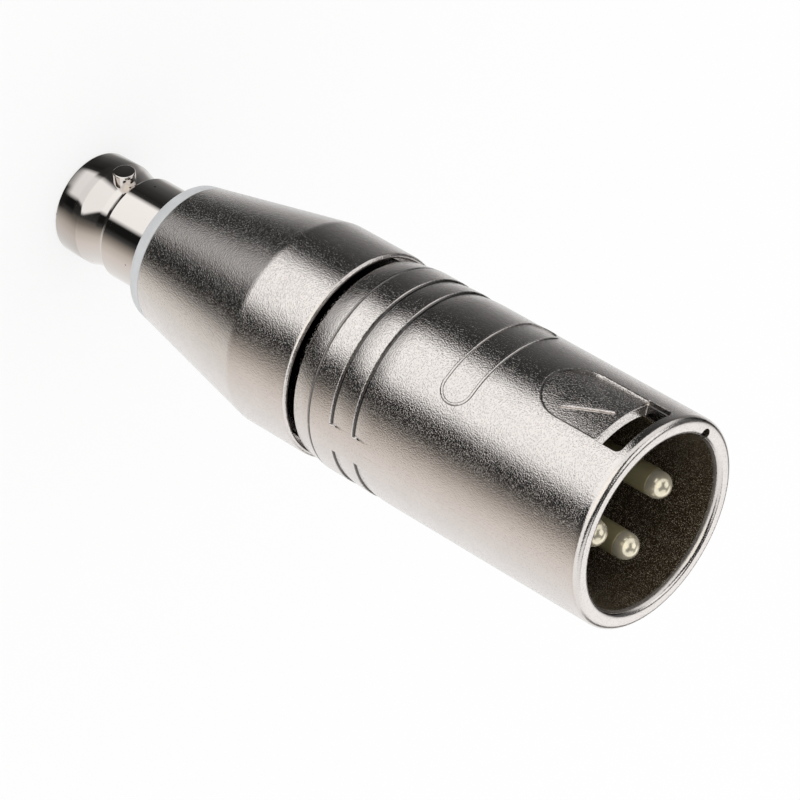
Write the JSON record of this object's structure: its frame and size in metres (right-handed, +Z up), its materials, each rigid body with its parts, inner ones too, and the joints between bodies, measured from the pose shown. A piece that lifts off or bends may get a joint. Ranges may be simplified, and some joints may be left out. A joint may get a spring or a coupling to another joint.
{
  "type": "xlr to bnc adapter",
  "caption": "Straight audio adapter with a male pin connector in a satin nickel shell, a conical rear cover and a polished female bayonet coaxial jack.",
  "frame": {"origin": "centre of the jack's front face, which the adapter stands on", "axes": "+Z up along the axis, from the jack to the rim round the pins; the latch window faces -Y"},
  "size_m": [0.019, 0.0191, 0.0657],
  "materials": {
    "satin_nickel": "satin nickel plate over a fine blasted die casting",
    "polished_nickel": "polished nickel plate on turned brass",
    "silver_plate": "silver plate on turned brass",
    "gold_plate": "gold plate on turned brass",
    "black_plastic": "moulded black plastic",
    "pale_plastic": "moulded pale grey plastic",
    "white_insulator": "turned white insulator",
    "spring_steel": "plain spring steel",
    "spring_bronze": "plain spring bronze",
    "green_board": "green lacquered board",
    "ferrite": "sintered dark grey core",
    "copper_wire": "enamelled copper wire",
    "sleeve_film": "plain insulating film",
    "red_lead": "red insulated lead",
    "black_lead": "black insulated lead"
  },
  "bodies": {
    "root": {"xlr_shell": "satin_nickel", "contact_insert": "black_plastic", "pin_1": "silver_plate", "pin_2": "silver_plate", "pin_3": "silver_plate", "retaining_ring": "spring_steel", "earth_clip": "spring_bronze", "circuit_board": "green_board", "chip_parts": "black_plastic", "transformer_base": "black_plastic", "transformer_core": "ferrite", "primary_winding": "copper_wire", "secondary_winding": "copper_wire", "insulating_sleeve": "sleeve_film", "rear_cover": "satin_nickel", "insulating_washer": "pale_plastic", "insulating_bush": "pale_plastic", "bnc_body": "polished_nickel", "bnc_dielectric": "white_insulator", "bnc_rear_bead": "white_insulator", "bnc_centre_contact": "gold_plate", "solder_tag": "spring_steel", "lock_washer": "spring_steel", "lock_nut": "polished_nickel", "signal_lead": "red_lead", "earth_lead": "black_lead"}
  },
  "joints": []
}
